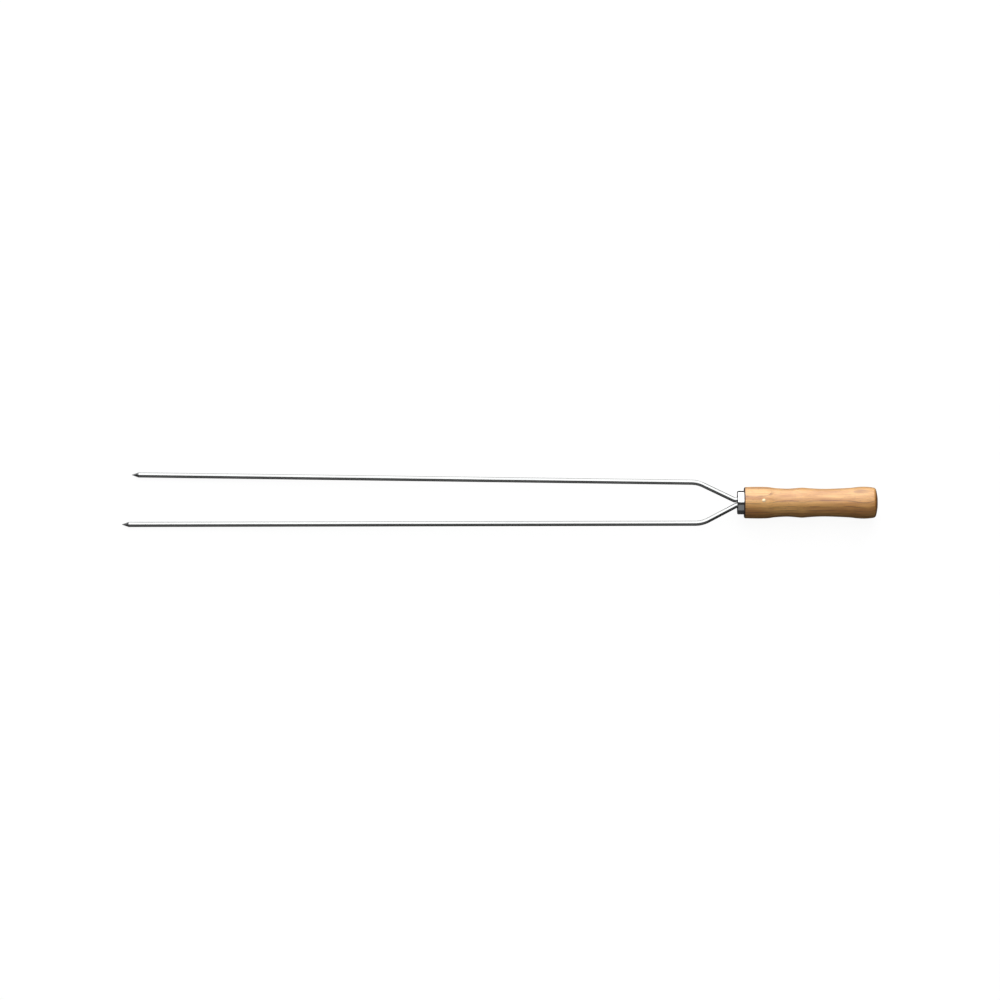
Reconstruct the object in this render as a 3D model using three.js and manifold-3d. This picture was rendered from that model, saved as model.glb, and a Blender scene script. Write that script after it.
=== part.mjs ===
// A double barbecue skewer: two pointed stainless steel prongs that spread from a metal ferrule on a
// turned wooden handle. Both prongs run side by side into the wood as one tang, and a cross pin
// driven through the handle passes between them and locks them in place.
//
// Millimetres. The handle's axis is X, the two prongs lie in the XY plane, and Z is up. The origin
// is the centre of the handle's butt, so the prongs point along -X.
import * as THREE from 'three';
import { mergeVertices } from 'three/addons/utils/BufferGeometryUtils.js';
import Module from 'manifold-3d';

const wasm = await Module();
wasm.setup();

// Driving dimensions.
const HANDLE_LENGTH = 132.6;
const FERRULE_LENGTH = 6.7; // the stretch in front of the wood
const FERRULE_RADIUS = 11.65;
const FERRULE_WALL = 0.8;
const FERRULE_EDGE = 1.2; // radius of its drawn front edge
const ROD_RADIUS = 2.5;
const TANG_LENGTH = 75; // from the ferrule's face back to the prongs' ends inside the handle
const PIN_RADIUS = 1.75;
const PIN_DISTANCE = 19.4; // from the front of the wood back to the cross pin
const GAP = 0.3; // clearance between every two pieces that touch

// The prongs: round rods with a shoulder bend where the fork opens and a neck bend at the ferrule.
// A prong's reach and the places of its bends' corners run forward from the ferrule's face, and its
// offsets run sideways from the axis. The right prong is shorter and its tip spreads wider.
const PRONGS = [
  {
    name: 'prong_left',
    side: -1,
    reach: 610.7,
    tipOffset: 21.9,
    shoulderAt: 34.7,
    shoulderOffset: 20.7,
    neckAt: 0.7,
  },
  {
    name: 'prong_right',
    side: 1,
    reach: 601.2,
    tipOffset: 27.9,
    shoulderAt: 39.1,
    shoulderOffset: 20.35,
    neckAt: 2.5,
  },
];
const SHOULDER_BEND = 28; // centreline radii of the two bends
const NECK_BEND = 5;
const TANG_OFFSET = ROD_RADIUS + GAP / 2; // from the axis to each rod where they lie side by side
const POINT_LENGTH = 7; // of the cone that each prong is ground to

// The handle's outline behind its front edge, as distance back from the front of the wood and
// radius: a collar, a finger groove, a low ridge, a longer groove and a swell before the butt.
const GRIP = [
  [1.6, 15.5],
  [10.5, 15.7],
  [20, 15.65],
  [25.5, 15.3],
  [31, 14.5],
  [42.5, 13.9],
  [50.5, 14.35],
  [57.5, 14.9],
  [64.5, 14.4],
  [73.5, 13.85],
  [82.5, 13.75],
  [93.5, 14.1],
  [105.5, 14.75],
  [112.5, 15.55],
  [118.5, 15.85],
  [123.5, 15.65],
  [128.6, 15.05],
];
const SHOULDER_EDGE = 1.6; // radius of the edge round the front of the wood
const BUTT_DOME = 48; // radius of the dome across the butt
const BUTT_DOME_RIM = 12.7; // where the dome runs into its rounded edge
const BUTT_EDGE = 3.2; // radius of that edge
const BUTT_FLAT = 5; // radius of the flat disc in the dome's middle

// Places along the axis that follow from them.
const WOOD_FRONT = -HANDLE_LENGTH;
const FERRULE_FRONT = WOOD_FRONT - FERRULE_LENGTH;
const TANG_END = FERRULE_FRONT + TANG_LENGTH;
const PIN_X = WOOD_FRONT + PIN_DISTANCE;

// Facets and cutting allowances.
const ROD_SIDES = 16;
const CONE_SIDES = 32;
const RINGS_PER_SECTION = 8;
const PIN_SIDES = 24;
const TURNED_SIDES = 48;
const EDGE_STEPS = 5;
const DOME_STEPS = 4;
const OVERCUT = 1; // how far a cut runs past the face that it opens
const THROUGH = 4 * FERRULE_RADIUS; // longer than the object is thick
const FORWARD = 180; // directions of an outline's normal, in degrees
const SIDEWAYS = 90;

const rodSteel = new THREE.MeshStandardMaterial({ color: 0xc9cbcc, roughness: 0.22, metalness: 1 });
const ferruleSteel = new THREE.MeshStandardMaterial({ color: 0xd6d8d9, roughness: 0.15, metalness: 1 });
const aluminium = new THREE.MeshStandardMaterial({ color: 0xdfdedb, roughness: 0.35, metalness: 1 });
const wood = new THREE.MeshStandardMaterial({ color: 0xcf9a60, roughness: 0.55, metalness: 0 });

// A closed geometry as a manifold-3d solid, with shared vertices merged and flat triangles dropped.
function solid(geometry) {
  const bare = geometry.index ? geometry.toNonIndexed() : geometry.clone();
  bare.deleteAttribute('normal');
  bare.deleteAttribute('uv');
  const merged = mergeVertices(bare, 1e-4);
  const corners = merged.index.array;
  const triangles = [];
  for (let i = 0; i < corners.length; i += 3) {
    const [a, b, c] = corners.slice(i, i + 3);
    if (a !== b && b !== c && c !== a) triangles.push(a, b, c);
  }
  const mesh = new wasm.Mesh({
    numProp: 3,
    vertProperties: merged.attributes.position.array,
    triVerts: new Uint32Array(triangles),
  });
  return new wasm.Manifold(mesh);
}

// A manifold-3d solid as a named mesh.
function piece(name, body, material) {
  const { vertProperties, triVerts } = body.getMesh();
  const geometry = new THREE.BufferGeometry();
  geometry.setAttribute('position', new THREE.BufferAttribute(vertProperties, 3));
  geometry.setIndex(new THREE.BufferAttribute(triVerts, 1));
  geometry.computeVertexNormals();
  const mesh = new THREE.Mesh(geometry, material);
  mesh.name = name;
  return mesh;
}

// A turned solid about the X axis, from an outline of [x, radius] pairs that starts and ends on it.
function turned(outline) {
  const profile = outline.map(([x, radius]) => new THREE.Vector2(radius, x));
  return solid(new THREE.LatheGeometry(profile, TURNED_SIDES).rotateZ(-Math.PI / 2));
}

// Points of an outline along an arc about [x, radius], between two directions of its normal.
function arc(centreX, centreRadius, radius, fromDegrees, toDegrees, steps) {
  return Array.from({ length: steps + 1 }, (_, i) => {
    const angle = THREE.MathUtils.degToRad(THREE.MathUtils.lerp(fromDegrees, toDegrees, i / steps));
    return [centreX + radius * Math.cos(angle), centreRadius + radius * Math.sin(angle)];
  });
}

// The opening that both rods pass through side by side: a bar along X with round sides.
function rodSlot(fromX, toX) {
  const halfHeight = ROD_RADIUS + GAP;
  const section = new THREE.Shape();
  section.absarc(TANG_OFFSET, 0, halfHeight, -Math.PI / 2, Math.PI / 2);
  section.absarc(-TANG_OFFSET, 0, halfHeight, Math.PI / 2, 1.5 * Math.PI);
  const bar = new THREE.ExtrudeGeometry(section, {
    depth: toX - fromX,
    curveSegments: ROD_SIDES / 2,
    bevelEnabled: false,
  });
  // The section's width becomes Y, its height becomes Z, and its depth becomes X.
  const axes = new THREE.Matrix4().makeBasis(
    new THREE.Vector3(0, 1, 0),
    new THREE.Vector3(0, 0, 1),
    new THREE.Vector3(1, 0, 0),
  );
  return solid(bar.applyMatrix4(axes).translate(fromX, 0, 0));
}

// An upright cylinder on the cross pin's axis.
function pinCylinder(radius, length) {
  const cylinder = new THREE.CylinderGeometry(radius, radius, length, PIN_SIDES);
  return solid(cylinder.rotateX(Math.PI / 2).translate(PIN_X, 0, 0));
}

// The straights and arcs of a line through these corners, each inner one rounded to its own radius.
function roundedLine(corners, bendRadii) {
  const sections = [];
  let start = corners[0];
  bendRadii.forEach((radius, i) => {
    const corner = corners[i + 1];
    const before = corner.clone().sub(corners[i]).normalize();
    const after = corners[i + 2].clone().sub(corner).normalize();
    const turn = Math.atan2(before.cross(after), before.dot(after));
    const tangent = radius * Math.tan(Math.abs(turn) / 2);
    const bendStart = corner.clone().addScaledVector(before, -tangent);
    const inward = new THREE.Vector2(-before.y, before.x).multiplyScalar(Math.sign(turn));
    const { x, y } = bendStart.clone().addScaledVector(inward, radius);
    const angle = Math.atan2(-inward.y, -inward.x);
    sections.push(new THREE.LineCurve(start, bendStart));
    sections.push(new THREE.EllipseCurve(x, y, radius, radius, angle, angle + turn, turn < 0));
    start = corner.clone().addScaledVector(after, tangent);
  });
  sections.push(new THREE.LineCurve(start, corners.at(-1)));
  return sections;
}

// A rod's centreline in the XY plane. Each section takes an equal share of the parameter, so that
// a short bend gets as many rings as a long straight.
class RodLine extends THREE.Curve {
  constructor(sections) {
    super();
    this.sections = sections;
  }

  getPoint(t) {
    const place = t * this.sections.length;
    const index = Math.min(Math.floor(place), this.sections.length - 1);
    const { x, y } = this.sections[index].getPoint(place - index);
    return new THREE.Vector3(x, y, 0);
  }

  getPointAt(u) {
    return this.getPoint(u);
  }

  getTangentAt(u) {
    return this.getTangent(u);
  }
}

// The cone that a prong's point is ground to, with its apex at the tip and its base past the other
// end of the rod.
function grindingCone(tip, towardShoulder) {
  const height = 2 * tip.length();
  const cone = new THREE.ConeGeometry((height * ROD_RADIUS) / POINT_LENGTH, height, CONE_SIDES);
  cone.translate(0, -height / 2, 0);
  cone.rotateZ(Math.PI / 2 + Math.atan2(towardShoulder.y, towardShoulder.x));
  cone.translate(tip.x, tip.y, 0);
  return solid(cone);
}

// One prong: a round rod, bent twice, ground to a point and notched where the cross pin passes.
function prong({ name, side, reach, tipOffset, shoulderAt, shoulderOffset, neckAt }) {
  const tip = new THREE.Vector2(FERRULE_FRONT - reach, side * tipOffset);
  const shoulder = new THREE.Vector2(FERRULE_FRONT - shoulderAt, side * shoulderOffset);
  const neck = new THREE.Vector2(FERRULE_FRONT - neckAt, side * TANG_OFFSET);
  const end = new THREE.Vector2(TANG_END, side * TANG_OFFSET);
  const sections = roundedLine([tip, shoulder, neck, end], [SHOULDER_BEND, NECK_BEND]);
  const circle = new THREE.Shape().absarc(0, 0, ROD_RADIUS, 0, 2 * Math.PI);
  const rod = new THREE.ExtrudeGeometry(circle, {
    extrudePath: new RodLine(sections),
    steps: sections.length * RINGS_PER_SECTION,
    curveSegments: ROD_SIDES / 2,
    bevelEnabled: false,
  });
  const pointed = solid(rod).intersect(grindingCone(tip, shoulder.clone().sub(tip)));
  return piece(name, pointed.subtract(pinCylinder(PIN_RADIUS + GAP, THROUGH)), rodSteel);
}

// The ferrule: a drawn cap, open at the back, with a slot through its face for the two rods.
function ferrule() {
  const back = WOOD_FRONT - GAP;
  const inside = FERRULE_RADIUS - FERRULE_WALL;
  const edge = FERRULE_EDGE;
  const cap = turned([
    [FERRULE_FRONT, 0],
    ...arc(FERRULE_FRONT + edge, FERRULE_RADIUS - edge, edge, FORWARD, SIDEWAYS, EDGE_STEPS),
    [back, FERRULE_RADIUS],
    [back, inside],
    [FERRULE_FRONT + FERRULE_WALL, inside],
    [FERRULE_FRONT + FERRULE_WALL, 0],
  ]);
  const slot = rodSlot(FERRULE_FRONT - OVERCUT, FERRULE_FRONT + FERRULE_WALL + OVERCUT);
  return piece('ferrule', cap.subtract(slot), ferruleSteel);
}

// The domed butt's outline, from its rounded edge over the dome to the flat disc in its middle.
function buttOutline() {
  const domeX = -Math.sqrt(BUTT_DOME ** 2 - BUTT_FLAT ** 2);
  const rimAngle = Math.asin(BUTT_DOME_RIM / BUTT_DOME);
  const flatAngle = Math.asin(BUTT_FLAT / BUTT_DOME);
  const [rim, flat] = [rimAngle, flatAngle].map(THREE.MathUtils.radToDeg);
  const edgeX = domeX + (BUTT_DOME - BUTT_EDGE) * Math.cos(rimAngle);
  const edgeRadius = (BUTT_DOME - BUTT_EDGE) * Math.sin(rimAngle);
  return [
    ...arc(edgeX, edgeRadius, BUTT_EDGE, SIDEWAYS, rim, EDGE_STEPS).slice(1),
    ...arc(domeX, 0, BUTT_DOME, rim, flat, DOME_STEPS).slice(1, -1),
    [0, BUTT_FLAT],
    [0, 0],
  ];
}

// The handle: turned wood with a tenon inside the ferrule, a mortise for the rods and a cross hole.
function handle() {
  const tenonRadius = FERRULE_RADIUS - FERRULE_WALL - GAP;
  const tenonFront = FERRULE_FRONT + FERRULE_WALL + GAP;
  const [firstBack, firstRadius] = GRIP[0];
  const edgeRadius = firstRadius - SHOULDER_EDGE;
  const gripPoints = GRIP.map(([back, radius]) => new THREE.Vector2(WOOD_FRONT + back, radius));
  const grip = new THREE.SplineCurve(gripPoints);
  const body = turned([
    [tenonFront, 0],
    [tenonFront, tenonRadius],
    [WOOD_FRONT, tenonRadius],
    ...arc(WOOD_FRONT + firstBack, edgeRadius, SHOULDER_EDGE, FORWARD, SIDEWAYS, EDGE_STEPS).slice(0, -1),
    ...grip.getPoints(2 * (GRIP.length - 1)).map((point) => [point.x, point.y]),
    ...buttOutline(),
  ]);
  const cut = body
    .subtract(rodSlot(tenonFront - OVERCUT, TANG_END + OVERCUT))
    .subtract(pinCylinder(PIN_RADIUS + GAP, THROUGH));
  return piece('handle', cut, wood);
}

// The pin that crosses the handle's collar, flush with the wood at both ends.
function crossPin() {
  const collarRadius = GRIP[2][1];
  return piece('cross_pin', pinCylinder(PIN_RADIUS, 2 * collarRadius), aluminium);
}

const skewer = new THREE.Group();
skewer.add(...PRONGS.map(prong), ferrule(), handle(), crossPin());

export default skewer;
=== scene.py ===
# %% [markdown]
# # A double barbecue skewer, from the frame to the picture
#
# The object is a long skewer for grilling: two steel prongs with ground points, a short metal
# ferrule, a turned wooden handle and a pin across it. Its sizes were settled beforehand in a CAD
# model, and this script dresses that model. Every piece is made in metres where the CAD piece
# lies, so nothing has to be moved or fitted afterwards. We keep the box of the bare model, to
# compare it with the finished one in the last cell.

# %% Load the frame
import math

import bmesh
import bpy
from mathutils import Matrix, Vector
from mathutils.geometry import interpolate_bezier


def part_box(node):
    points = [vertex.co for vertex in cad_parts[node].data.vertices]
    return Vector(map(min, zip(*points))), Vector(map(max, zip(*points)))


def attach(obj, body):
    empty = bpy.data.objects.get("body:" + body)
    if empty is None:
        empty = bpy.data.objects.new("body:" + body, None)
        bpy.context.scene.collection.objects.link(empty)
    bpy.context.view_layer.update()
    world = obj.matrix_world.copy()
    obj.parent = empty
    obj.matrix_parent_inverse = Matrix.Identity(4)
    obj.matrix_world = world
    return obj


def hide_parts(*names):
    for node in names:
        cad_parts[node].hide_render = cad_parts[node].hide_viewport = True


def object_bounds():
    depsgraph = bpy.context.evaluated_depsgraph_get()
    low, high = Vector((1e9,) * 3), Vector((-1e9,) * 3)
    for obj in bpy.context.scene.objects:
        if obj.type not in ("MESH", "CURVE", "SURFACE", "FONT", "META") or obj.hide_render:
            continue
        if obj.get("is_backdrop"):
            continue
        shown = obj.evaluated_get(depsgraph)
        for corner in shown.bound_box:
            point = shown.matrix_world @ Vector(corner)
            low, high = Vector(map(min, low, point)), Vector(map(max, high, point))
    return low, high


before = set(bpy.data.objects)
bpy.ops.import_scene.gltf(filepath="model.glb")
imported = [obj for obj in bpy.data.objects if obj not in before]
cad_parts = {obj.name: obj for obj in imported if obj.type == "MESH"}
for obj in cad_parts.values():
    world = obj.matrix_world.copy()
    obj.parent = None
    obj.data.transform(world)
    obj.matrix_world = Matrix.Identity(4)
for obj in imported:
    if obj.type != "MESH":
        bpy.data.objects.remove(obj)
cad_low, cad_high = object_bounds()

MM = 0.001
scene = bpy.context.scene
print("CAD box in mm:", [round(side / MM, 1) for side in cad_high - cad_low])

# %% [markdown]
# ## Places on the object
#
# The handle's axis is X and the origin is the middle of its butt, so the prongs point along -X.
# Most places can be read off the boxes of the CAD pieces. The shape of the bends can't, so those
# few sizes are written down here again, in millimetres, as the workshop drawing would have them.

# %% Places on the object
GAP = 0.3 * MM  # clearance between pieces that touch
POINT_LENGTH = 7.0 * MM  # of the ground points
SHOULDER_EDGE = 1.6 * MM  # radius of the edge round the front of the wood
GRIP = [  # the handle's outline: distance back from the front of the wood, and radius, in mm
    (1.6, 15.5),
    (10.5, 15.7),
    (20, 15.65),
    (25.5, 15.3),
    (31, 14.5),
    (42.5, 13.9),
    (50.5, 14.35),
    (57.5, 14.9),
    (64.5, 14.4),
    (73.5, 13.85),
    (82.5, 13.75),
    (93.5, 14.1),
    (105.5, 14.75),
    (112.5, 15.55),
    (118.5, 15.85),
    (123.5, 15.65),
    (128.6, 15.05),
]
AXIS = Vector((1, 0, 0))
UP = Vector((0, 0, 1))

ferrule_low, ferrule_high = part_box("ferrule")
pin_low, pin_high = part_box("cross_pin")
prong_low, prong_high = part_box("prong_left")
ferrule_front = ferrule_low.x
wood_front = ferrule_high.x + GAP
tang_end = prong_high.x
rod_radius = (prong_high.z - prong_low.z) / 2
ferrule_radius = ferrule_high.z
pin_radius = (pin_high.x - pin_low.x) / 2
pin_x = (pin_high.x + pin_low.x) / 2
tang_offset = rod_radius + GAP / 2  # from the axis to each rod where they lie side by side
print(f"Handle {-wood_front / MM:.1f} mm, rods {2 * rod_radius / MM:.1f} mm thick")

# %% [markdown]
# ## The camera
#
# The skewer is seen from nearly straight above. A camera close by would see the two ends of the
# handle from two directions, so this one stands 9 m off, with a long lens. The focal length
# follows from how much of the picture's width the skewer should take up.

# %% The camera
ELEVATION = math.radians(81.5)  # above the horizon
CAMERA_DISTANCE = 9.0
LENGTH_SHARE = 0.7557  # of the picture's width
AIM = Vector((-0.37465, 0.0027, 0.0))  # what the middle of the picture shows

camera_data = bpy.data.cameras.new("camera")
camera = bpy.data.objects.new("camera", camera_data)
scene.collection.objects.link(camera)
scene.camera = camera
to_camera = Vector((0, -math.cos(ELEVATION), math.sin(ELEVATION)))
picture_width = (cad_high.x - cad_low.x) / LENGTH_SHARE
camera_data.sensor_width = 36  # mm, as is the lens
camera_data.lens = camera_data.sensor_width * CAMERA_DISTANCE / picture_width
camera.location = AIM + CAMERA_DISTANCE * to_camera
camera.rotation_euler = to_camera.to_track_quat("Z", "Y").to_euler()
print(f"The picture is {picture_width:.3f} m wide, with a {camera_data.lens:.0f} mm lens")

# %% [markdown]
# ## The light
#
# Polished rods are mirrors, so what they reflect is their look. A tall white card leans over the
# skewer, from straight overhead down past the horizon on the far side. The far half of each rod
# reflects it and turns white, and the near half stays dark. The card is not much wider than the
# rods need: the points are cones, which reflect what lies sideways past its end, and stay dark.
# Only mirrors see the card, so its brightness can be set by their look alone.
#
# The wood only cares where most of the light comes from. It has three softboxes of its own, which
# the metal doesn't see: one overhead, a brighter one on the far side and a very weak one on the
# near side. A dim panel on the near side is seen by everything and keeps the shade from going
# black. Brightness is given for each square metre, so that a panel can grow without its face
# getting dimmer, and none of the panels shows in the picture itself.

# %% The light
MIDDLE = (cad_low + cad_high) / 2
PANEL_DISTANCE = 5.0


def panel(name, from_degrees, to_degrees, width, brightness, **sees):
    """A light along X, whose two edges stand at these angles from the zenith, towards +Y."""
    edges = []
    for degrees in (from_degrees, to_degrees):
        angle = math.radians(degrees)
        edges.append(MIDDLE + PANEL_DISTANCE * Vector((0, math.sin(angle), math.cos(angle))))
    rise = edges[1] - edges[0]
    data = bpy.data.lights.new(name, "AREA")
    data.shape = "RECTANGLE"
    data.size = width
    data.size_y = rise.length
    data.energy = brightness * math.pi * data.size * data.size_y
    light = bpy.data.objects.new(name, data)
    across = rise.normalized()
    turn = Matrix((AXIS, across, AXIS.cross(across))).transposed().to_4x4()
    light.matrix_world = Matrix.Translation((edges[0] + edges[1]) / 2) @ turn
    light.visible_camera = False
    for kind, seen in sees.items():
        setattr(light, kind, seen)
    scene.collection.objects.link(light)
    print(f"{name}: {data.size:.1f} by {data.size_y:.1f} m, {data.energy:.0f} W")


panel("white_card", -2, 112, width=3.4, brightness=3.0, visible_diffuse=False)
panel("overhead_softbox", 0, 40, width=5.0, brightness=2.4, visible_glossy=False)
panel("far_softbox", 40, 80, width=5.0, brightness=3.4, visible_glossy=False)
panel("near_panel", -90, -30, width=5.0, brightness=0.18)
panel("near_softbox", -100, -30, width=5.0, brightness=0.07, visible_glossy=False)

# %% [markdown]
# ## Adding shader nodes
#
# A material is a small program drawn as boxes and wires. One function is enough to write it down:
# it adds a box, sets its options and fills each input with a number or with a wire from another
# box. Colours are given as the hex values of a paint chart, which are made for the eye, so a
# second function turns them into the linear light that the renderer adds up.

# %% Adding shader nodes
def add(tree, kind, inputs=None, **options):
    """Adds one node. inputs gives each socket, by name or number, a value or an output to link."""
    made = tree.nodes.new(kind)
    for option, value in options.items():
        setattr(made, option, value)
    for socket, value in (inputs or {}).items():
        if isinstance(value, bpy.types.NodeSocket):
            tree.links.new(value, made.inputs[socket])
        else:
            made.inputs[socket].default_value = value
    return made


def linear(colour):
    """An sRGB hex colour, such as "D9A86C", as linear red, green, blue and full alpha."""
    channels = [int(colour[i : i + 2], 16) / 255 for i in (0, 2, 4)]
    light = [c / 12.92 if c <= 0.04045 else ((c + 0.055) / 1.055) ** 2.4 for c in channels]
    return (*light, 1.0)


def new_material(name):
    """An empty material with only its output node. Returns the material and its node tree."""
    material = bpy.data.materials.new(name)
    material.use_nodes = True
    material.node_tree.nodes.clear()
    return material, material.node_tree


print("Mid grey 808080 is", round(linear("808080")[0], 3), "in linear light")

# %% [markdown]
# ## The floor and what is behind it
#
# The skewer lies on a white table. It touches the table with its two points and with the front
# edge of its thick handle, so against the skewer's own axis the table is tilted by about a degree.
# The white is mostly the floor's own glow, with a thin share of ordinary matt white on top, which
# is all that a soft shadow needs. A dome of the same glow closes the horizon in low views. The
# metal and the wood don't see the floor or the dome, so these don't wash out the dark reflections.
# What they see instead, where there is no light, is a dim grey room.

# %% The floor and what is behind it
STAGE_GLOW = 0.94
FLOOR_SIZE = 28.0
DOME_RADIUS = 12.0
ROOM_GREY = 0.04

collar_foot = Vector((wood_front + SHOULDER_EDGE, 0, -GRIP[0][1] * MM))
point_foot = Vector((prong_low.x + POINT_LENGTH, 0, -rod_radius))
lie = point_foot - collar_foot
tilt = math.atan2(lie.z, -lie.x)


def stage_material(name, matt_share):
    """A white that glows by itself, with a share of matt white that takes shadows."""
    material, tree = new_material(name)
    shine = add(tree, "ShaderNodeEmission", {"Color": linear("FFFFFF"), "Strength": STAGE_GLOW})
    matt = add(tree, "ShaderNodeBsdfDiffuse", {"Color": (matt_share, matt_share, matt_share, 1)})
    both = add(tree, "ShaderNodeAddShader", {0: shine.outputs[0], 1: matt.outputs[0]})
    add(tree, "ShaderNodeOutputMaterial", {"Surface": both.outputs[0]})
    return material


def stage_piece(name, bm, material):
    """A stage object that only the camera sees, and that casts no shadow."""
    mesh = bpy.data.meshes.new(name)
    bm.to_mesh(mesh)
    bm.free()
    mesh.materials.append(material)
    obj = bpy.data.objects.new(name, mesh)
    scene.collection.objects.link(obj)
    obj.visible_glossy = False
    obj.visible_diffuse = False
    obj.visible_transmission = False
    obj.visible_shadow = False
    obj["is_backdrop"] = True
    return obj


bm = bmesh.new()
bmesh.ops.create_grid(bm, x_segments=1, y_segments=1, size=FLOOR_SIZE / 2)
floor = stage_piece("floor", bm, stage_material("white_table", matt_share=0.1))
floor.location = collar_foot
floor.rotation_euler = (0, tilt, 0)

bm = bmesh.new()
bmesh.ops.create_icosphere(bm, subdivisions=4, radius=DOME_RADIUS)
stage_piece("dome", bm, stage_material("white_backdrop", matt_share=0))

world = bpy.data.worlds.new("dim_room")
world.use_nodes = True
room = world.node_tree.nodes["Background"]
room.inputs["Color"].default_value = (ROOM_GREY, ROOM_GREY, ROOM_GREY, 1)
scene.world = world
scene.view_settings.view_transform = "Standard"
print(f"The table is tilted by {math.degrees(tilt):.2f} degrees against the skewer's axis")

# %% [markdown]
# ## From a bmesh to a piece
#
# Every piece ends the same way. Its normals are made to point outwards, its edges are marked sharp
# where the surface really turns a corner, and it is tied to the CAD body that it rides on. The
# skewer has no moving parts, so that is always the body called root.

# %% From a bmesh to a piece
SHARP_DEGREES = 35


def new_piece(name, bm, materials, node, sharp_degrees=SHARP_DEGREES):
    """Closes a bmesh into a named object that stands for a CAD node."""
    bmesh.ops.recalc_face_normals(bm, faces=bm.faces)
    mesh = bpy.data.meshes.new(name)
    bm.to_mesh(mesh)
    bm.free()
    return dress_piece(name, mesh, materials, node, sharp_degrees)


def dress_piece(name, mesh, materials, node, sharp_degrees=SHARP_DEGREES):
    """Gives a mesh its shading, materials and place in the frame."""
    mesh.polygons.foreach_set("use_smooth", [True] * len(mesh.polygons))
    mesh.set_sharp_from_angle(angle=math.radians(sharp_degrees))
    for material in materials:
        mesh.materials.append(material)
    obj = bpy.data.objects.new(name, mesh)
    scene.collection.objects.link(obj)
    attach(obj, "root")
    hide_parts(node)
    check = bmesh.new()
    check.from_mesh(mesh)
    open_edges = sum(not edge.is_manifold for edge in check.edges)
    print(f"{name}: {len(check.faces)} faces, {open_edges} open edges")
    check.free()
    return obj


# %% [markdown]
# ## Drawn stainless steel
#
# The rods are stainless steel wire of a heavy gauge, pulled through a die and straightened. That
# leaves a bright skin with very fine lines along the rod, a little sharper here and duller there.
# The eye reads it as a mirror that blurs only sideways. A noise stretched along the rod gives both
# the lines and the uneven gloss, with a slower noise for where it has been handled. Both read the
# place on the unbent rod, so they turn with each bend. Real drawing lines are about 0.05 mm apart,
# too fine to show, so they are drawn 0.4 mm apart.

# %% Drawn stainless steel
def drawn_steel():
    material, tree = new_material("stainless_steel_drawn")
    unbent = add(tree, "ShaderNodeAttribute", attribute_name="unbent").outputs["Vector"]
    line_width = 0.4 * MM
    line_length = 120 * MM
    stretch = (1 / line_length, 1 / line_width, 1 / line_width)
    along = add(tree, "ShaderNodeMapping", {"Vector": unbent, "Scale": stretch}).outputs[0]
    lines = add(
        tree, "ShaderNodeTexNoise", {"Vector": along, "Scale": 1.0, "Detail": 3.0}
    ).outputs[0]
    handling_size = 35 * MM
    handling = add(
        tree, "ShaderNodeTexNoise", {"Vector": unbent, "Scale": 1 / handling_size, "Detail": 2.0}
    ).outputs[0]
    both = add(tree, "ShaderNodeMath", {0: lines, 1: handling}, operation="ADD").outputs[0]
    gloss = add(
        tree, "ShaderNodeMapRange",
        {"Value": both, "From Min": 0.7, "From Max": 1.3, "To Min": 0.07, "To Max": 0.15},
    ).outputs[0]
    tone = add(tree, "ShaderNodeValToRGB", {"Fac": lines})
    tone.color_ramp.elements[0].position = 0.3
    tone.color_ramp.elements[0].color = linear("939495")
    tone.color_ramp.elements[1].position = 0.6
    tone.color_ramp.elements[1].color = linear("A6A7A6")
    bump = add(
        tree, "ShaderNodeBump", {"Height": lines, "Strength": 0.15, "Distance": 0.02 * MM}
    ).outputs[0]
    steel = add(
        tree, "ShaderNodeBsdfPrincipled",
        {"Base Color": tone.outputs["Color"], "Metallic": 1.0, "Roughness": gloss, "Normal": bump},
    )
    add(tree, "ShaderNodeOutputMaterial", {"Surface": steel.outputs[0]})
    return material


rod_steel = drawn_steel()
print(rod_steel.name, "has", len(rod_steel.node_tree.nodes), "nodes")

# %% [markdown]
# ## Ground stainless steel
#
# The points are ground on a wheel while the rod turns. The wheel leaves scratches that run round
# the cone, so they are coarser and duller than the drawn skin. The same noise is used, but squeezed
# along X and left long across it. Real scratches are much finer than 0.1 mm and wouldn't show, so
# they are drawn 0.25 mm wide.

# %% Ground stainless steel
def ground_steel():
    material, tree = new_material("stainless_steel_ground")
    place = add(tree, "ShaderNodeTexCoord").outputs["Object"]
    scratch_width = 0.25 * MM
    scratch_length = 6 * MM
    squeeze = (1 / scratch_width, 1 / scratch_length, 1 / scratch_length)
    across = add(tree, "ShaderNodeMapping", {"Vector": place, "Scale": squeeze}).outputs[0]
    scratches = add(
        tree, "ShaderNodeTexNoise", {"Vector": across, "Scale": 1.0, "Detail": 4.0, "Roughness": 0.6}
    ).outputs[0]
    gloss = add(
        tree, "ShaderNodeMapRange",
        {"Value": scratches, "From Min": 0.35, "From Max": 0.65, "To Min": 0.22, "To Max": 0.36},
    ).outputs[0]
    tone = add(tree, "ShaderNodeValToRGB", {"Fac": scratches})
    tone.color_ramp.elements[0].position = 0.35
    tone.color_ramp.elements[0].color = linear("A6A7A8")
    tone.color_ramp.elements[1].position = 0.65
    tone.color_ramp.elements[1].color = linear("CBCCCC")
    bump = add(
        tree, "ShaderNodeBump", {"Height": scratches, "Strength": 0.4, "Distance": 0.03 * MM}
    ).outputs[0]
    steel = add(
        tree, "ShaderNodeBsdfPrincipled",
        {"Base Color": tone.outputs["Color"], "Metallic": 1.0, "Roughness": gloss, "Normal": bump},
    )
    add(tree, "ShaderNodeOutputMaterial", {"Surface": steel.outputs[0]})
    return material


point_steel = ground_steel()
print(point_steel.name, "has", len(point_steel.node_tree.nodes), "nodes")

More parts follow.
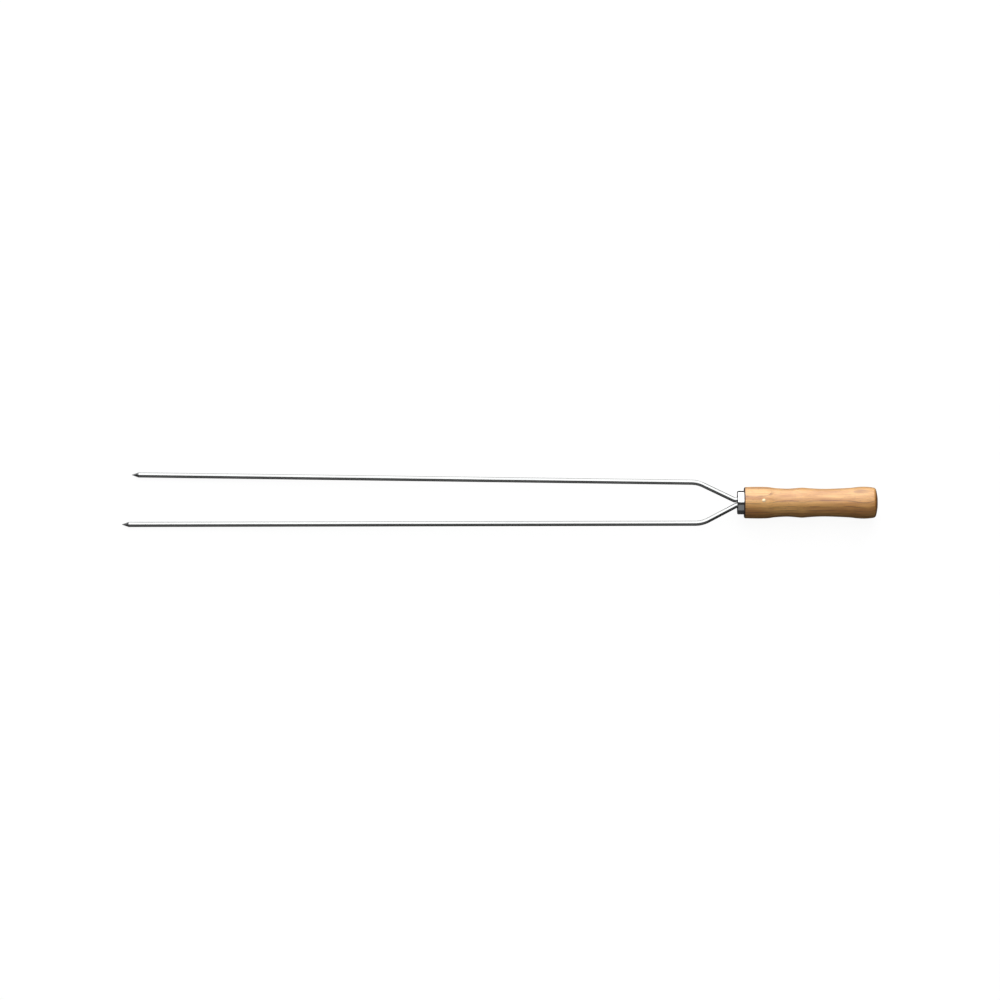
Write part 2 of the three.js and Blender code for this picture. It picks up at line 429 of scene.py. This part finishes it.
# %% [markdown]
# ## Polished stainless steel
#
# The ferrule is pressed from stainless sheet and polished while it spins, so its fine lines run
# round it. One half of it is clean white and the other dark, with a sharp border between them.
# Noise that changes mostly along X makes lines that run round. Real ones are too fine to show, so
# they are drawn 0.3 mm wide. The smudges are a slower noise that dulls the gloss in patches.

# %% Polished stainless steel
def polished_steel():
    material, tree = new_material("stainless_steel_polished")
    place = add(tree, "ShaderNodeTexCoord").outputs["Object"]
    line_width = 0.3 * MM
    line_length = 40 * MM
    squeeze = (1 / line_width, 1 / line_length, 1 / line_length)
    around = add(tree, "ShaderNodeMapping", {"Vector": place, "Scale": squeeze}).outputs[0]
    lines = add(
        tree, "ShaderNodeTexNoise", {"Vector": around, "Scale": 1.0, "Detail": 2.0}
    ).outputs[0]
    smudge_size = 6 * MM
    smudges = add(
        tree, "ShaderNodeTexNoise", {"Vector": place, "Scale": 1 / smudge_size, "Detail": 3.0}
    ).outputs[0]
    both = add(tree, "ShaderNodeMath", {0: lines, 1: smudges}, operation="ADD").outputs[0]
    gloss = add(
        tree, "ShaderNodeMapRange",
        {"Value": both, "From Min": 0.7, "From Max": 1.3, "To Min": 0.08, "To Max": 0.17},
    ).outputs[0]
    tone = add(tree, "ShaderNodeValToRGB", {"Fac": lines})
    tone.color_ramp.elements[0].position = 0.3
    tone.color_ramp.elements[0].color = linear("CFD0D1")
    tone.color_ramp.elements[1].position = 0.6
    tone.color_ramp.elements[1].color = linear("DFE0E0")
    bump = add(
        tree, "ShaderNodeBump", {"Height": lines, "Strength": 0.1, "Distance": 0.02 * MM}
    ).outputs[0]
    steel = add(
        tree, "ShaderNodeBsdfPrincipled",
        {"Base Color": tone.outputs["Color"], "Metallic": 1.0, "Roughness": gloss, "Normal": bump},
    )
    add(tree, "ShaderNodeOutputMaterial", {"Surface": steel.outputs[0]})
    return material


cap_steel = polished_steel()
print(cap_steel.name, "has", len(cap_steel.node_tree.nodes), "nodes")

# %% [markdown]
# ## Oiled beech
#
# The handle is beech, turned on a lathe, sanded and oiled. To the eye that is a warm honey colour
# with a soft shine, darker lines where the year rings come to the surface, and short fine fibres
# along the grain. The rings are tubes round the pith of the tree, so a picture wrapped round the
# handle would never meet at the ends. A solid pattern does: the Wave texture draws rings round an
# axis, and a Mapping node puts that axis where the pith was, outside this piece of wood and not
# quite parallel to it. A slow noise makes the rings waver, as a tree's do.
#
# Beech rings are 1 to 4 mm wide, and 3.8 mm is used here, so that only a few lines show.

# %% The tree's rings
RING_WIDTH = 3.8 * MM
RINGS_PER_SCALE = 2 * math.pi / 20  # the Wave texture's period at a scale of 1
PITH = Vector((0, -49.5, -70.7)) * MM  # where the middle of the tree was, from the handle's butt
PITH_LEAN = (0, math.radians(0.41), math.radians(-0.29))
WOBBLE = 2.0 * MM  # how far a ring strays
WOBBLE_LENGTH = 26.316 * MM
WOBBLE_WIDTH = 16.667 * MM


def ring_pattern(tree, place):
    """0 in the pale wood of spring, rising to 1 in the dark wood of autumn, ring after ring."""
    stretch = (1 / WOBBLE_LENGTH, 1 / WOBBLE_WIDTH, 1 / WOBBLE_WIDTH)
    slow = add(tree, "ShaderNodeMapping", {"Vector": place, "Scale": stretch}).outputs[0]
    noise = add(tree, "ShaderNodeTexNoise", {"Vector": slow, "Scale": 1.0, "Detail": 1.0})
    centred = add(
        tree, "ShaderNodeVectorMath", {0: noise.outputs["Color"], 1: (0.5, 0.5, 0.5)},
        operation="SUBTRACT",
    ).outputs[0]
    wobbly = add(
        tree, "ShaderNodeVectorMath", {0: centred, 1: (WOBBLE, WOBBLE, WOBBLE), 2: place},
        operation="MULTIPLY_ADD",
    ).outputs[0]
    from_pith = add(
        tree, "ShaderNodeMapping", {"Vector": wobbly, "Location": -PITH, "Rotation": PITH_LEAN}
    ).outputs[0]
    return add(
        tree, "ShaderNodeTexWave", {"Vector": from_pith, "Scale": RINGS_PER_SCALE / RING_WIDTH},
        wave_type="RINGS", rings_direction="X", wave_profile="SAW",
    ).outputs["Fac"]


# %% [markdown]
# ### Pale wood and dark lines
#
# Only the last fifth of each ring is dark. Left at that, the lines would be as even as if they had
# been ruled. So a patchy noise sets how dark a line gets, and each line comes and goes along the
# handle.

# %% Pale wood and dark lines
PATCH_LENGTH = 14 * MM
PATCH_WIDTH = 5 * MM
COLOUR_A, COLOUR_B, COLOUR_OUT = 6, 7, 2  # the Mix node's sockets when it mixes colours


def ringed_wood(tree, place):
    """The colour of the bare wood with its year rings."""
    stretch = (1 / PATCH_LENGTH, 1 / PATCH_WIDTH, 1 / PATCH_WIDTH)
    patchy = add(tree, "ShaderNodeMapping", {"Vector": place, "Scale": stretch}).outputs[0]
    patches = add(
        tree, "ShaderNodeTexNoise", {"Vector": patchy, "Scale": 1.0, "Detail": 1.0}
    ).outputs[0]
    strength = add(
        tree, "ShaderNodeMapRange",
        {"Value": patches, "From Min": 0.38, "From Max": 0.6, "To Min": 0.25, "To Max": 1.0},
    ).outputs[0]
    rings = ring_pattern(tree, place)
    late = add(
        tree, "ShaderNodeMapRange",
        {"Value": rings, "From Min": 0.78, "From Max": 0.98, "To Min": 0.0, "To Max": strength},
    ).outputs[0]
    return add(
        tree, "ShaderNodeMix", {0: late, COLOUR_A: linear("EBB468"), COLOUR_B: linear("935E2D")},
        data_type="RGBA", blend_type="MIX",
    ).outputs[COLOUR_OUT]


# %% [markdown]
# ### Fibres and streaks
#
# Both run along the wood, so both are noise stretched along X, and both are laid over the colour
# with a Mix node that multiplies, as a thin stain would. The fibres are far too fine to show, so
# they are drawn 0.9 mm wide. Their noise is needed once more for the surface itself. The streaks
# are bands of darker wood, a few millimetres wide and several centimetres long.

# %% Fibres and streaks
FIBRE_LENGTH = 35 * MM
FIBRE_WIDTH = 0.9 * MM
STREAK_LENGTH = 70 * MM
STREAK_WIDTH = 5 * MM


def fibre_noise(tree, place):
    """Fine lines along X, low where there is a fibre."""
    stretch = (1 / FIBRE_LENGTH, 1 / FIBRE_WIDTH, 1 / FIBRE_WIDTH)
    along = add(tree, "ShaderNodeMapping", {"Vector": place, "Scale": stretch}).outputs[0]
    return add(
        tree, "ShaderNodeTexNoise", {"Vector": along, "Scale": 1.0, "Detail": 3.0, "Roughness": 0.6}
    ).outputs[0]


def with_fibres(tree, wood, fibres):
    """The wood's colour, a little darker in each fibre."""
    tone = add(tree, "ShaderNodeValToRGB", {"Fac": fibres})
    tone.color_ramp.elements[0].position = 0.35
    tone.color_ramp.elements[0].color = linear("E3DAD2")
    tone.color_ramp.elements[1].position = 0.65
    tone.color_ramp.elements[1].color = linear("FFFFFF")
    return add(
        tree, "ShaderNodeMix", {0: 1.0, COLOUR_A: wood, COLOUR_B: tone.outputs[0]},
        data_type="RGBA", blend_type="MULTIPLY",
    ).outputs[COLOUR_OUT]


def with_streaks(tree, wood, place):
    """The wood's colour, darker in long soft streaks."""
    stretch = (1 / STREAK_LENGTH, 1 / STREAK_WIDTH, 1 / STREAK_WIDTH)
    along = add(tree, "ShaderNodeMapping", {"Vector": place, "Scale": stretch}).outputs[0]
    streaks = add(
        tree, "ShaderNodeTexNoise", {"Vector": along, "Scale": 1.0, "Detail": 2.0}
    ).outputs[0]
    tone = add(tree, "ShaderNodeValToRGB", {"Fac": streaks})
    tone.color_ramp.elements[0].position = 0.38
    tone.color_ramp.elements[0].color = linear("DDCBB9")
    tone.color_ramp.elements[1].position = 0.6
    tone.color_ramp.elements[1].color = linear("FFFFFF")
    return add(
        tree, "ShaderNodeMix", {0: 1.0, COLOUR_A: wood, COLOUR_B: tone.outputs[0]},
        data_type="RGBA", blend_type="MULTIPLY",
    ).outputs[COLOUR_OUT]


# %% [markdown]
# ### Rays, end grain and painted shade
#
# Beech is known by its rays, which show as small brown dashes, here 3 mm long. Only the peaks of
# the noise are used, so that they are few. Where the grain ends at the surface, the wood drinks
# more oil and is a little darker. On top of that the front edge is darkened strongly, and the butt
# a little, as painted shade: both face away from the light. Those are the places whose normal
# points along X, so the normal's X is all that this darkening has to read.

# %% Rays, end grain and painted shade
RAY_LENGTH = 3 * MM
RAY_WIDTH = 0.8 * MM


def with_rays(tree, wood, place):
    """The wood's colour with a few brown dashes."""
    stretch = (1 / RAY_LENGTH, 1 / RAY_WIDTH, 1 / RAY_WIDTH)
    along = add(tree, "ShaderNodeMapping", {"Vector": place, "Scale": stretch}).outputs[0]
    noise = add(
        tree, "ShaderNodeTexNoise", {"Vector": along, "Scale": 1.0, "Detail": 0.0}
    ).outputs[0]
    rays = add(
        tree, "ShaderNodeMapRange",
        {"Value": noise, "From Min": 0.66, "From Max": 0.76, "To Min": 0.0, "To Max": 0.35},
    ).outputs[0]
    return add(
        tree, "ShaderNodeMix", {0: rays, COLOUR_A: wood, COLOUR_B: linear("A06A3C")},
        data_type="RGBA", blend_type="MIX",
    ).outputs[COLOUR_OUT]


def with_end_grain_and_painted_shade(tree, wood, normal):
    """The wood's colour, darker where the surface turns towards either end of the handle, as end
    grain and painted shade.
    """
    facing = add(tree, "ShaderNodeSeparateXYZ", {0: normal}).outputs["X"]
    from_front_to_butt = add(
        tree, "ShaderNodeMapRange",
        {"Value": facing, "From Min": -1.0, "From Max": 1.0, "To Min": 0.0, "To Max": 1.0},
    ).outputs[0]
    tone = add(tree, "ShaderNodeValToRGB", {"Fac": from_front_to_butt})
    # The two dark stops are the end grain's own tone deepened into painted shade, strong at the
    # front edge and weak over the butt.
    tone.color_ramp.elements[0].position = 0.33
    tone.color_ramp.elements[0].color = linear("463A2E")
    tone.color_ramp.elements[1].position = 0.44
    tone.color_ramp.elements[1].color = linear("FFFFFF")
    tone.color_ramp.elements.new(0.75).color = linear("FFFFFF")
    tone.color_ramp.elements.new(0.9).color = linear("DDCDBB")
    return add(
        tree, "ShaderNodeMix", {0: 1.0, COLOUR_A: wood, COLOUR_B: tone.outputs[0]},
        data_type="RGBA", blend_type="MULTIPLY",
    ).outputs[COLOUR_OUT]


# %% [markdown]
# ### The oil
#
# Oil soaks in and leaves a soft shine, with no glossy skin like a varnish's. A principled shader
# gives that with a fairly rough surface and a coat that is nearly as rough. Each fibre is a shallow
# groove that the oil doesn't fill, so the fibres' noise also drives a small bump, and makes the
# grooves duller than the wood between them.

# %% The oil
def oiled_beech():
    material, tree = new_material("beech_oiled")
    coordinates = add(tree, "ShaderNodeTexCoord")
    place = coordinates.outputs["Object"]
    fibres = fibre_noise(tree, place)
    wood = ringed_wood(tree, place)
    wood = with_fibres(tree, wood, fibres)
    wood = with_streaks(tree, wood, place)
    wood = with_rays(tree, wood, place)
    wood = with_end_grain_and_painted_shade(tree, wood, coordinates.outputs["Normal"])
    gloss = add(
        tree, "ShaderNodeMapRange",
        {"Value": fibres, "From Min": 0.3, "From Max": 0.7, "To Min": 0.54, "To Max": 0.42},
    ).outputs[0]
    bump = add(
        tree, "ShaderNodeBump", {"Height": fibres, "Strength": 0.35, "Distance": 0.08 * MM}
    ).outputs[0]
    shader = add(
        tree, "ShaderNodeBsdfPrincipled",
        {
            "Base Color": wood, "Roughness": gloss, "IOR": 1.5, "Normal": bump,
            "Coat Weight": 1.0, "Coat Roughness": 0.45, "Coat IOR": 1.5,
        },
    )
    add(tree, "ShaderNodeOutputMaterial", {"Surface": shader.outputs[0]})
    return material


beech = oiled_beech()
print(beech.name, "has", len(beech.node_tree.nodes), "nodes")

# %% [markdown]
# ## Sanded aluminium
#
# The pin is soft aluminium, cut off and sanded down together with the wood while the handle turned.
# It comes out pale, even and silky, with fine scratches round the handle, and the wood's oil gives
# it a warm cast. It never shows a sharp reflection. Real scratches are too fine to show, so they
# are drawn 0.2 mm wide.

# %% Sanded aluminium
def sanded_aluminium():
    material, tree = new_material("aluminium_sanded")
    place = add(tree, "ShaderNodeTexCoord").outputs["Object"]
    scratch_width = 0.2 * MM
    scratch_length = 5 * MM
    squeeze = (1 / scratch_width, 1 / scratch_length, 1 / scratch_length)
    around = add(tree, "ShaderNodeMapping", {"Vector": place, "Scale": squeeze}).outputs[0]
    scratches = add(
        tree, "ShaderNodeTexNoise", {"Vector": around, "Scale": 1.0, "Detail": 3.0}
    ).outputs[0]
    tone = add(tree, "ShaderNodeValToRGB", {"Fac": scratches})
    tone.color_ramp.elements[0].position = 0.3
    tone.color_ramp.elements[0].color = linear("CBB895")
    tone.color_ramp.elements[1].position = 0.7
    tone.color_ramp.elements[1].color = linear("DAC6A2")
    gloss = add(
        tree, "ShaderNodeMapRange",
        {"Value": scratches, "From Min": 0.3, "From Max": 0.7, "To Min": 0.48, "To Max": 0.38},
    ).outputs[0]
    bump = add(
        tree, "ShaderNodeBump", {"Height": scratches, "Strength": 0.3, "Distance": 0.03 * MM}
    ).outputs[0]
    metal = add(
        tree, "ShaderNodeBsdfPrincipled",
        {"Base Color": tone.outputs["Color"], "Metallic": 1.0, "Roughness": gloss, "Normal": bump},
    )
    add(tree, "ShaderNodeOutputMaterial", {"Surface": metal.outputs[0]})
    return material


aluminium = sanded_aluminium()
print(aluminium.name, "has", len(aluminium.node_tree.nodes), "nodes")

# %% [markdown]
# ## The ferrule
#
# The ferrule is a cap drawn from thin sheet, with a slot punched in its face for the two rods. We
# start with two loops in one plane, the slot and the rim, and bridge them. The rim is then
# extruded back to make the wall, its front edge is rounded with a bevel as drawing leaves it, and
# solidify gives the sheet its thickness.

# %% The ferrule
FERRULE_WALL = 0.8 * MM
FERRULE_EDGE = 1.2 * MM
SEAM = 0.02 * MM  # left open between the cap and the wood
RIM_SIDES = 96
ALONG_X = Matrix(((0, 0, 1, 0), (1, 0, 0, 0), (0, 1, 0, 0), (0, 0, 0, 1)))  # turns +Z into +X


def loop(bm, radius, sides):
    """The edges of a circle about Z, turned by half a side so that no corner lies on an axis."""
    verts = bmesh.ops.create_circle(bm, segments=sides, radius=radius)["verts"]
    half_side = Matrix.Rotation(math.pi / sides, 3, "Z")
    bmesh.ops.rotate(bm, verts=verts, cent=(0, 0, 0), matrix=half_side)
    return verts, list({edge for vertex in verts for edge in vertex.link_edges})


def pull_apart(verts, distance):
    """Makes a circle into a slot with round ends, by moving its two halves apart along X."""
    for vertex in verts:
        vertex.co.x += math.copysign(distance, vertex.co.x)


bm = bmesh.new()
slot_verts, slot_edges = loop(bm, rod_radius + GAP, RIM_SIDES)
pull_apart(slot_verts, tang_offset)
_, rim_edges = loop(bm, ferrule_radius, RIM_SIDES)
bmesh.ops.bridge_loops(bm, edges=slot_edges + rim_edges)
wall = bmesh.ops.extrude_edge_only(bm, edges=rim_edges)["geom"]
wall_verts = [part for part in wall if isinstance(part, bmesh.types.BMVert)]
bmesh.ops.translate(bm, verts=wall_verts, vec=(0, 0, wood_front - SEAM - ferrule_front))
bmesh.ops.bevel(
    bm, geom=rim_edges, offset=FERRULE_EDGE, offset_type="OFFSET", segments=8, profile=0.5,
    affect="EDGES", material=-1, clamp_overlap=False,
)
bmesh.ops.recalc_face_normals(bm, faces=bm.faces)
if sum(face.normal.z * face.calc_area() for face in bm.faces) > 0:
    bmesh.ops.reverse_faces(bm, faces=bm.faces)
bmesh.ops.solidify(bm, geom=bm.faces[:], thickness=FERRULE_WALL)
bmesh.ops.transform(bm, matrix=Matrix.Translation((ferrule_front, 0, 0)) @ ALONG_X, verts=bm.verts)
new_piece("ferrule_cap", bm, [cap_steel], "ferrule")

# %% [markdown]
# ## The handle
#
# The handle was turned on a lathe, so a lathe is the way to model it: half an outline, spun once
# round the axis. The outline is a plain collar, a groove for the first finger, a low ridge, a long
# groove and a swell that stops the hand at the butt. Between the points of the list, a smooth
# curve takes over, with its tangents worked out from each point's two neighbours.

# %% The handle's outline
BUTT_DOME = 48 * MM  # radius of the dome
BUTT_DOME_RIM = 12.7 * MM  # from the axis to where the dome ends
BUTT_EDGE = 3.2 * MM  # radius of the edge round the dome
BUTT_FLAT = 5 * MM  # radius of the flat disc in its middle
POINTS_PER_SPAN = 7
HANDLE_SHARE = 6  # a curve's handle is a sixth of the way between the point's two neighbours


def smooth_line(points):
    """A smooth curve through all the points."""
    line = []
    for i in range(len(points) - 1):
        before, start = points[max(i - 1, 0)], points[i]
        end, after = points[i + 1], points[min(i + 2, len(points) - 1)]
        handles = start + (end - before) / HANDLE_SHARE, end - (after - start) / HANDLE_SHARE
        line += interpolate_bezier(start, *handles, end, POINTS_PER_SPAN)[:-1]
    return line + [points[-1]]


def arc(x, z, radius, from_degrees, to_degrees, steps):
    """Points on an arc in the XZ plane. 0 degrees is towards +X, and 90 is away from the axis."""
    line = []
    for i in range(steps + 1):
        angle = math.radians(from_degrees + (to_degrees - from_degrees) * i / steps)
        line.append(Vector((x + radius * math.cos(angle), 0, z + radius * math.sin(angle))))
    return line


def butt_outline():
    """From the side of the butt, round its edge and over the dome to the flat disc in its middle."""
    dome_x = -math.sqrt(BUTT_DOME**2 - BUTT_FLAT**2)
    rim = math.asin(BUTT_DOME_RIM / BUTT_DOME)
    flat = math.asin(BUTT_FLAT / BUTT_DOME)
    inner = BUTT_DOME - BUTT_EDGE
    edge_x, edge_z = dome_x + inner * math.cos(rim), inner * math.sin(rim)
    edge = arc(edge_x, edge_z, BUTT_EDGE, 90, math.degrees(rim), steps=10)[1:]
    dome = arc(dome_x, 0, BUTT_DOME, math.degrees(rim), math.degrees(flat), steps=8)[1:-1]
    return edge + dome + [Vector((0, 0, BUTT_FLAT)), Vector((0, 0, 0))]


# %% Turn the handle
TURNED_SIDES = 128
MERGE = 0.001 * MM  # vertices nearer to each other than this become one

tenon_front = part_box("handle")[0].x
tenon_radius = ferrule_radius - FERRULE_WALL - GAP
grip = [Vector((wood_front + back * MM, 0, radius * MM)) for back, radius in GRIP]
edge_z = grip[0].z - SHOULDER_EDGE
outline = [
    Vector((tenon_front, 0, 0)),
    Vector((tenon_front, 0, tenon_radius)),
    Vector((wood_front, 0, tenon_radius)),
    *arc(grip[0].x, edge_z, SHOULDER_EDGE, 180, 90, steps=8)[:-1],
    *smooth_line(grip),
    *butt_outline(),
]
handle_bm = bmesh.new()
line = [handle_bm.verts.new(point) for point in outline]
for pair in zip(line, line[1:]):
    handle_bm.edges.new(pair)
bmesh.ops.spin(
    handle_bm, geom=handle_bm.verts[:] + handle_bm.edges[:], cent=(0, 0, 0), axis=AXIS,
    dvec=(0, 0, 0), angle=2 * math.pi, steps=TURNED_SIDES, use_merge=True, use_duplicate=False,
)
bmesh.ops.remove_doubles(handle_bm, verts=handle_bm.verts, dist=MERGE)
bmesh.ops.recalc_face_normals(handle_bm, faces=handle_bm.faces)
print(f"Outline of {len(outline)} points, {len(handle_bm.faces)} faces once turned")

# %% [markdown]
# ### The holes in the handle
#
# Two things are cut into the turned wood: the mortise that the two rods are driven into, and the
# hole for the cross pin. A drill and a chisel remove wood, and so does the Boolean modifier. It is
# used like a tool here: set up, applied to the mesh at once, and thrown away with its cutter.

# %% Cut the holes
BAR_SIDES = 64
PIN_HOLE_GAP = 0.06 * MM
OVERCUT = 1 * MM  # the cutter starts this far outside the wood and ends this far past the tangs


def bar(radius, apart, length, matrix):
    """A bar with round sides, or a cylinder if nothing is pulled apart, as a closed bmesh."""
    bm = bmesh.new()
    verts, edges = loop(bm, radius, BAR_SIDES)
    pull_apart(verts, apart)
    pushed = bmesh.ops.extrude_edge_only(bm, edges=edges)["geom"]
    far_end = [part for part in pushed if isinstance(part, bmesh.types.BMVert)]
    bmesh.ops.translate(bm, verts=far_end, vec=(0, 0, length))
    bmesh.ops.holes_fill(bm, edges=[edge for edge in bm.edges if edge.is_boundary], sides=0)
    bmesh.ops.recalc_face_normals(bm, faces=bm.faces)
    bmesh.ops.transform(bm, matrix=matrix, verts=bm.verts)
    return bm


def pin_bar(gap):
    """A cylinder on the cross pin's axis, longer than the handle is thick."""
    half = 2 * ferrule_radius
    return bar(pin_radius + gap, 0, 2 * half, Matrix.Translation((pin_x, 0, -half)))


def as_object(name, bm):
    """An object made of bm, which is used up."""
    mesh = bpy.data.meshes.new(name)
    bm.to_mesh(mesh)
    bm.free()
    obj = bpy.data.objects.new(name, mesh)
    scene.collection.objects.link(obj)
    return obj


def cut_away(bm, *cutters):
    """The mesh of bm with the cutters' shapes removed from it."""
    blank = as_object("blank", bm)
    tools = [as_object("cutter", cutter) for cutter in cutters]
    for tool in tools:
        cut = blank.modifiers.new("cut", "BOOLEAN")
        cut.operation = "DIFFERENCE"
        cut.solver = "EXACT"
        cut.object = tool
    graph = bpy.context.evaluated_depsgraph_get()
    mesh = bpy.data.meshes.new_from_object(blank.evaluated_get(graph))
    for obj in [blank, *tools]:
        bpy.data.meshes.remove(obj.data)
    return mesh


mortise_start = tenon_front - OVERCUT
mortise = bar(
    rod_radius + GAP, tang_offset, tang_end + OVERCUT - mortise_start,
    Matrix.Translation((mortise_start, 0, 0)) @ ALONG_X,
)
handle_mesh = cut_away(handle_bm, mortise, pin_bar(PIN_HOLE_GAP))
dress_piece("turned_handle", handle_mesh, [beech], "handle")

# %% [markdown]
# ## The prongs
#
# Each prong is one length of round rod, cut off, bent twice cold and ground to a point. A curve
# with a bevel would give the tube, but not the point. So we do what the workshop does: take a round
# section, push it along the straights and swing it through the bends. The spin operator does
# both, because it can turn its copy, shift it, or do both at once.
#
# While the rod grows, each vertex also stores where it lay on the straight rod. The lines that
# drawing leaves on the steel can then follow the rod round its bends. After that the rod gets its
# point, and last a shallow notch where the cross pin will pass between the two.

# %% Corners of a bent rod
def straights_and_bends(corners, bend_radii):
    """The sections of a line through these corners, as (shift, centre, turn, length) each."""
    sections = []
    start = corners[0]
    for i, radius in enumerate(bend_radii):
        corner = corners[i + 1]
        before = (corner - corners[i]).normalized()
        after = (corners[i + 2] - corner).normalized()
        turn = math.atan2(before.cross(after).z, before.dot(after))
        tangent = radius * math.tan(abs(turn) / 2)
        bend_start = corner - tangent * before
        centre = bend_start + math.copysign(radius, turn) * UP.cross(before)
        sections.append((bend_start - start, start, 0.0, (bend_start - start).length))
        sections.append((Vector(), centre, turn, radius * abs(turn)))
        start = corner + tangent * after
    sections.append((corners[-1] - start, start, 0.0, (corners[-1] - start).length))
    return sections


# %% Push and swing a rod
ROD_SIDES = 48
STRAIGHT_STEP = 25 * MM
BEND_STEP = math.radians(2.5)


def bent_rod(corners, bend_radii):
    """A round rod along these corners, with an "unbent" place stored on each vertex.

    It is open at both ends. Returns its bmesh and the edges of its last ring.
    """
    bm = bmesh.new()
    unbent = bm.verts.layers.float_vector.new("unbent")
    ring = bmesh.ops.create_circle(bm, segments=ROD_SIDES, radius=rod_radius)["verts"]
    for vertex in ring:
        vertex[unbent] = (0, vertex.co.x, vertex.co.y)
    heading = (corners[1] - corners[0]).normalized()
    facing = Matrix((UP.cross(heading), UP, heading)).transposed().to_4x4()
    bmesh.ops.transform(bm, matrix=Matrix.Translation(corners[0]) @ facing, verts=ring)
    ends = bm.edges[:]
    for shift, centre, turn, length in straights_and_bends(corners, bend_radii):
        steps = math.ceil(max(shift.length / STRAIGHT_STEP, abs(turn) / BEND_STEP))
        for _ in range(steps):
            made = bmesh.ops.spin(
                bm, geom=ends, cent=centre, axis=UP, dvec=shift / steps, angle=turn / steps, steps=1
            )["geom_last"]
            ends = [part for part in made if isinstance(part, bmesh.types.BMEdge)]
            for vertex in {vertex for edge in ends for vertex in edge.verts}:
                vertex[unbent] = vertex[unbent] + Vector((length / steps, 0, 0))
    return bm, ends


# %% [markdown]
# ### The points
#
# A point is a plain cone, ground while the rod turns. We extrude the rod's open end again and again
# and shrink each new ring towards the tip, which makes a cone by itself. The rings stand closer
# together near the tip, so that only the very end is shaded as a rounded needle. The last ring is
# merged into one vertex, and the other end of the rod is closed with a face.

# %% Grind a point
SHRINK = 0.55  # from one ring of the cone to the next
CONE_RINGS = 6


def grind_point(bm, rim, tip):
    """Closes the rod's open end, whose edges are rim, with a cone up to the tip."""
    for _ in range(CONE_RINGS):
        made = bmesh.ops.extrude_edge_only(bm, edges=rim)["geom"]
        ring = [part for part in made if isinstance(part, bmesh.types.BMVert)]
        bmesh.ops.scale(bm, vec=[SHRINK] * 3, space=Matrix.Translation(-tip), verts=ring)
        rim = [part for part in made if isinstance(part, bmesh.types.BMEdge) and part.is_boundary]
    bmesh.ops.pointmerge(bm, verts=ring, merge_co=tip)
    bmesh.ops.holes_fill(bm, edges=[edge for edge in bm.edges if edge.is_boundary], sides=0)


# %% Make both prongs
SHOULDER_BEND = 28 * MM
NECK_BEND = 5 * MM


def prong(name, side, tip_offset, shoulder_at, shoulder_offset, neck_at):
    """One prong, from its tang's end inside the handle to its point."""
    tip = Vector((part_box(name)[0].x, side * tip_offset, 0))
    shoulder = Vector((ferrule_front - shoulder_at, side * shoulder_offset, 0))
    neck = Vector((ferrule_front - neck_at, side * tang_offset, 0))
    tang = Vector((tang_end, side * tang_offset, 0))
    cone_start = tip - POINT_LENGTH * (tip - shoulder).normalized()
    blank, open_end = bent_rod([tang, neck, shoulder, cone_start], [NECK_BEND, SHOULDER_BEND])
    grind_point(blank, open_end, tip)
    bmesh.ops.recalc_face_normals(blank, faces=blank.faces)
    bm = bmesh.new()
    bm.from_mesh(cut_away(blank, pin_bar(GAP)))
    for face in bm.faces:
        if (face.calc_center_median() - tip).length < POINT_LENGTH:
            face.material_index = 1
    steels = [rod_steel, point_steel]
    return new_piece(f"{name}_rod", bm, steels, name, sharp_degrees=12)


prong(
    "prong_left", side=-1, tip_offset=21.9 * MM,
    shoulder_at=34.7 * MM, shoulder_offset=20.7 * MM, neck_at=0.7 * MM,
)
prong(
    "prong_right", side=1, tip_offset=27.9 * MM,
    shoulder_at=39.1 * MM, shoulder_offset=20.35 * MM, neck_at=2.5 * MM,
)

# %% [markdown]
# ## The cross pin
#
# The pin is driven through the handle's collar and sanded with it, so its end isn't flat but has
# the collar's own roundness. We start with a disc with a few rings in it and lay it on the collar's
# curve. Its rim is extruded down to the middle of the handle, the edge is rounded a little, and a
# mirror makes the other half.

# %% The cross pin
PIN_SIDES = 48
PIN_RINGS = 5
PIN_EDGE = 0.12 * MM
PIN_SUNK = 0.04 * MM  # how far the pin's end is below the wood around it

bm = bmesh.new()
bmesh.ops.create_circle(bm, cap_ends=True, segments=PIN_SIDES, radius=pin_radius)
rim_edges = bm.edges[:]
for _ in range(PIN_RINGS):
    inner = [face for face in bm.faces if len(face.verts) == PIN_SIDES]
    bmesh.ops.inset_region(bm, faces=inner, thickness=pin_radius / (PIN_RINGS + 1))
bmesh.ops.poke(bm, faces=[face for face in bm.faces if len(face.verts) == PIN_SIDES])
collar_radius = pin_high.z
for vertex in bm.verts:
    vertex.co.z = math.sqrt(collar_radius**2 - vertex.co.y**2) - PIN_SUNK
skirt = bmesh.ops.extrude_edge_only(bm, edges=rim_edges)["geom"]
for part in skirt:
    if isinstance(part, bmesh.types.BMVert):
        part.co.z = 0
bmesh.ops.bevel(
    bm, geom=rim_edges, offset=PIN_EDGE, offset_type="OFFSET", segments=3, profile=0.5,
    affect="EDGES", material=-1, clamp_overlap=False,
)
bmesh.ops.mirror(bm, geom=bm.verts[:] + bm.edges[:] + bm.faces[:], axis="Z", merge_dist=MERGE)
bmesh.ops.translate(bm, verts=bm.verts, vec=(pin_x, 0, 0))
new_piece("pin", bm, [aluminium], "cross_pin")

# %% [markdown]
# ## Sizes and the last line
#
# The finished model has to fill the same box as the bare one. Both boxes are compared here, and how
# far the finished one grows past the bare one's box is printed.

# %% Sizes and the last line
low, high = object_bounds()
grown = [*(cad_low - low), *(high - cad_high)]
print("Grown past the CAD box, in mm:", [round(side / MM, 3) for side in grown])
